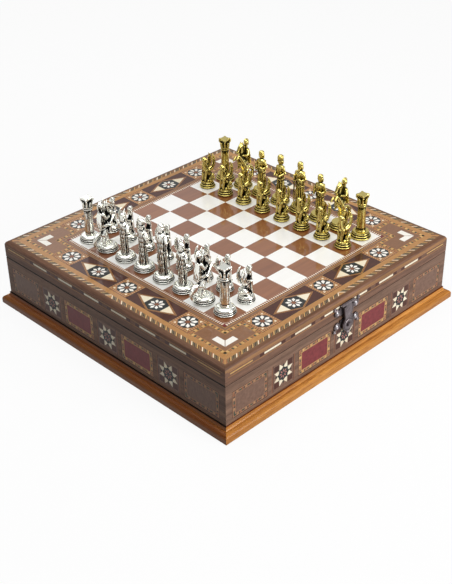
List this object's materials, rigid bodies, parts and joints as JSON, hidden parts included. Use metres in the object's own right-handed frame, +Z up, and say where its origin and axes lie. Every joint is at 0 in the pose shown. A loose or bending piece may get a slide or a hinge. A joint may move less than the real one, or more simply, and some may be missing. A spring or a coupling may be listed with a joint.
{
  "type": "chess box",
  "caption": "Square walnut storage box with a hinged chess board lid, inlaid marquetry, plinth moulding, a front hasp and cast metal chessmen that lift off the board",
  "frame": {"origin": "middle of the underside, on the surface the box stands on", "axes": "+Z up, hasp towards -Y, hinges towards +Y, silver army at -X and gold army at +X"},
  "size_m": [0.361, 0.361, 0.146],
  "materials": {
    "walnut": "lacquered",
    "panel_wood": "plain",
    "honey_wood": "lacquered",
    "star_marquetry": "lacquered",
    "panel_marquetry": "lacquered",
    "velvet": "velvet",
    "dark_bronze": "antique dark bronze",
    "hinge_brass": "plain",
    "fastener_steel": "plain",
    "white_veneer": "gloss lacquer",
    "rosy_veneer": "gloss lacquer",
    "banding_marquetry": "gloss lacquer",
    "border_marquetry": "gloss lacquer",
    "cream_inlay": "gloss lacquer",
    "silver_cast": "polished with dark recesses",
    "gold_cast": "polished with dark recesses"
  },
  "bodies": {
    "case": {"case_front_wall": "walnut", "case_right_wall": "walnut", "case_back_wall": "walnut", "case_left_wall": "walnut", "case_floor": "panel_wood", "plinth_moulding": "honey_wood", "case_star_tiles": "star_marquetry", "case_side_panels": "panel_marquetry", "velvet_lining": "velvet", "army_divider": "panel_wood", "latch_keeper": "dark_bronze", "hinge_case_leaves": "hinge_brass", "case_screws": "fastener_steel"},
    "lid": {"lid_front_rail": "walnut", "lid_right_rail": "walnut", "lid_back_rail": "walnut", "lid_left_rail": "walnut", "lid_panel": "panel_wood", "light_squares": "white_veneer", "dark_squares": "rosy_veneer", "lid_bandings": "banding_marquetry", "lid_border_tiles": "border_marquetry", "lid_side_bars": "cream_inlay", "hinge_lid_leaves": "hinge_brass", "hinge_pins": "fastener_steel", "latch_plate": "dark_bronze", "lid_screws": "fastener_steel"},
    "hasp": {"latch_hasp": "dark_bronze"},
    "silver_rook_a": {"silver_rook_a": "silver_cast"},
    "silver_knight_b": {"silver_knight_b": "silver_cast"},
    "silver_bishop_c": {"silver_bishop_c": "silver_cast"},
    "silver_king_d": {"silver_king_d": "silver_cast"},
    "silver_queen_e": {"silver_queen_e": "silver_cast"},
    "silver_bishop_f": {"silver_bishop_f": "silver_cast"},
    "silver_knight_g": {"silver_knight_g": "silver_cast"},
    "silver_rook_h": {"silver_rook_h": "silver_cast"},
    "silver_pawn_a": {"silver_pawn_a": "silver_cast"},
    "silver_pawn_b": {"silver_pawn_b": "silver_cast"},
    "silver_pawn_c": {"silver_pawn_c": "silver_cast"},
    "silver_pawn_d": {"silver_pawn_d": "silver_cast"},
    "silver_pawn_e": {"silver_pawn_e": "silver_cast"},
    "silver_pawn_f": {"silver_pawn_f": "silver_cast"},
    "silver_pawn_g": {"silver_pawn_g": "silver_cast"},
    "silver_pawn_h": {"silver_pawn_h": "silver_cast"},
    "gold_rook_a": {"gold_rook_a": "gold_cast"},
    "gold_knight_b": {"gold_knight_b": "gold_cast"},
    "gold_bishop_c": {"gold_bishop_c": "gold_cast"},
    "gold_king_d": {"gold_king_d": "gold_cast"},
    "gold_queen_e": {"gold_queen_e": "gold_cast"},
    "gold_bishop_f": {"gold_bishop_f": "gold_cast"},
    "gold_knight_g": {"gold_knight_g": "gold_cast"},
    "gold_rook_h": {"gold_rook_h": "gold_cast"},
    "gold_pawn_a": {"gold_pawn_a": "gold_cast"},
    "gold_pawn_b": {"gold_pawn_b": "gold_cast"},
    "gold_pawn_c": {"gold_pawn_c": "gold_cast"},
    "gold_pawn_d": {"gold_pawn_d": "gold_cast"},
    "gold_pawn_e": {"gold_pawn_e": "gold_cast"},
    "gold_pawn_f": {"gold_pawn_f": "gold_cast"},
    "gold_pawn_g": {"gold_pawn_g": "gold_cast"},
    "gold_pawn_h": {"gold_pawn_h": "gold_cast"}
  },
  "joints": [
    {"name": "lid_hinge", "type": "hinge", "parent": "case", "child": "lid", "pos_m": [0, 0.1753, 0.06], "axis": [-1, 0, 0], "range_deg": [0, 95]},
    {"name": "hasp_swing", "type": "hinge", "parent": "lid", "child": "hasp", "pos_m": [0, -0.1747, 0.073], "axis": [-1, 0, 0], "range_deg": [0, 165]},
    {"name": "lift_silver_rook_a", "type": "slide", "parent": "lid", "child": "silver_rook_a", "axis": [0, 0, 1], "range_m": [0, 0.08]},
    {"name": "lift_silver_knight_b", "type": "slide", "parent": "lid", "child": "silver_knight_b", "axis": [0, 0, 1], "range_m": [0, 0.08]},
    {"name": "lift_silver_bishop_c", "type": "slide", "parent": "lid", "child": "silver_bishop_c", "axis": [0, 0, 1], "range_m": [0, 0.08]},
    {"name": "lift_silver_king_d", "type": "slide", "parent": "lid", "child": "silver_king_d", "axis": [0, 0, 1], "range_m": [0, 0.08]},
    {"name": "lift_silver_queen_e", "type": "slide", "parent": "lid", "child": "silver_queen_e", "axis": [0, 0, 1], "range_m": [0, 0.08]},
    {"name": "lift_silver_bishop_f", "type": "slide", "parent": "lid", "child": "silver_bishop_f", "axis": [0, 0, 1], "range_m": [0, 0.08]},
    {"name": "lift_silver_knight_g", "type": "slide", "parent": "lid", "child": "silver_knight_g", "axis": [0, 0, 1], "range_m": [0, 0.08]},
    {"name": "lift_silver_rook_h", "type": "slide", "parent": "lid", "child": "silver_rook_h", "axis": [0, 0, 1], "range_m": [0, 0.08]},
    {"name": "lift_silver_pawn_a", "type": "slide", "parent": "lid", "child": "silver_pawn_a", "axis": [0, 0, 1], "range_m": [0, 0.08]},
    {"name": "lift_silver_pawn_b", "type": "slide", "parent": "lid", "child": "silver_pawn_b", "axis": [0, 0, 1], "range_m": [0, 0.08]},
    {"name": "lift_silver_pawn_c", "type": "slide", "parent": "lid", "child": "silver_pawn_c", "axis": [0, 0, 1], "range_m": [0, 0.08]},
    {"name": "lift_silver_pawn_d", "type": "slide", "parent": "lid", "child": "silver_pawn_d", "axis": [0, 0, 1], "range_m": [0, 0.08]},
    {"name": "lift_silver_pawn_e", "type": "slide", "parent": "lid", "child": "silver_pawn_e", "axis": [0, 0, 1], "range_m": [0, 0.08]},
    {"name": "lift_silver_pawn_f", "type": "slide", "parent": "lid", "child": "silver_pawn_f", "axis": [0, 0, 1], "range_m": [0, 0.08]},
    {"name": "lift_silver_pawn_g", "type": "slide", "parent": "lid", "child": "silver_pawn_g", "axis": [0, 0, 1], "range_m": [0, 0.08]},
    {"name": "lift_silver_pawn_h", "type": "slide", "parent": "lid", "child": "silver_pawn_h", "axis": [0, 0, 1], "range_m": [0, 0.08]},
    {"name": "lift_gold_rook_a", "type": "slide", "parent": "lid", "child": "gold_rook_a", "axis": [0, 0, 1], "range_m": [0, 0.08]},
    {"name": "lift_gold_knight_b", "type": "slide", "parent": "lid", "child": "gold_knight_b", "axis": [0, 0, 1], "range_m": [0, 0.08]},
    {"name": "lift_gold_bishop_c", "type": "slide", "parent": "lid", "child": "gold_bishop_c", "axis": [0, 0, 1], "range_m": [0, 0.08]},
    {"name": "lift_gold_king_d", "type": "slide", "parent": "lid", "child": "gold_king_d", "axis": [0, 0, 1], "range_m": [0, 0.08]},
    {"name": "lift_gold_queen_e", "type": "slide", "parent": "lid", "child": "gold_queen_e", "axis": [0, 0, 1], "range_m": [0, 0.08]},
    {"name": "lift_gold_bishop_f", "type": "slide", "parent": "lid", "child": "gold_bishop_f", "axis": [0, 0, 1], "range_m": [0, 0.08]},
    {"name": "lift_gold_knight_g", "type": "slide", "parent": "lid", "child": "gold_knight_g", "axis": [0, 0, 1], "range_m": [0, 0.08]},
    {"name": "lift_gold_rook_h", "type": "slide", "parent": "lid", "child": "gold_rook_h", "axis": [0, 0, 1], "range_m": [0, 0.08]},
    {"name": "lift_gold_pawn_a", "type": "slide", "parent": "lid", "child": "gold_pawn_a", "axis": [0, 0, 1], "range_m": [0, 0.08]},
    {"name": "lift_gold_pawn_b", "type": "slide", "parent": "lid", "child": "gold_pawn_b", "axis": [0, 0, 1], "range_m": [0, 0.08]},
    {"name": "lift_gold_pawn_c", "type": "slide", "parent": "lid", "child": "gold_pawn_c", "axis": [0, 0, 1], "range_m": [0, 0.08]},
    {"name": "lift_gold_pawn_d", "type": "slide", "parent": "lid", "child": "gold_pawn_d", "axis": [0, 0, 1], "range_m": [0, 0.08]},
    {"name": "lift_gold_pawn_e", "type": "slide", "parent": "lid", "child": "gold_pawn_e", "axis": [0, 0, 1], "range_m": [0, 0.08]},
    {"name": "lift_gold_pawn_f", "type": "slide", "parent": "lid", "child": "gold_pawn_f", "axis": [0, 0, 1], "range_m": [0, 0.08]},
    {"name": "lift_gold_pawn_g", "type": "slide", "parent": "lid", "child": "gold_pawn_g", "axis": [0, 0, 1], "range_m": [0, 0.08]},
    {"name": "lift_gold_pawn_h", "type": "slide", "parent": "lid", "child": "gold_pawn_h", "axis": [0, 0, 1], "range_m": [0, 0.08]}
  ]
}
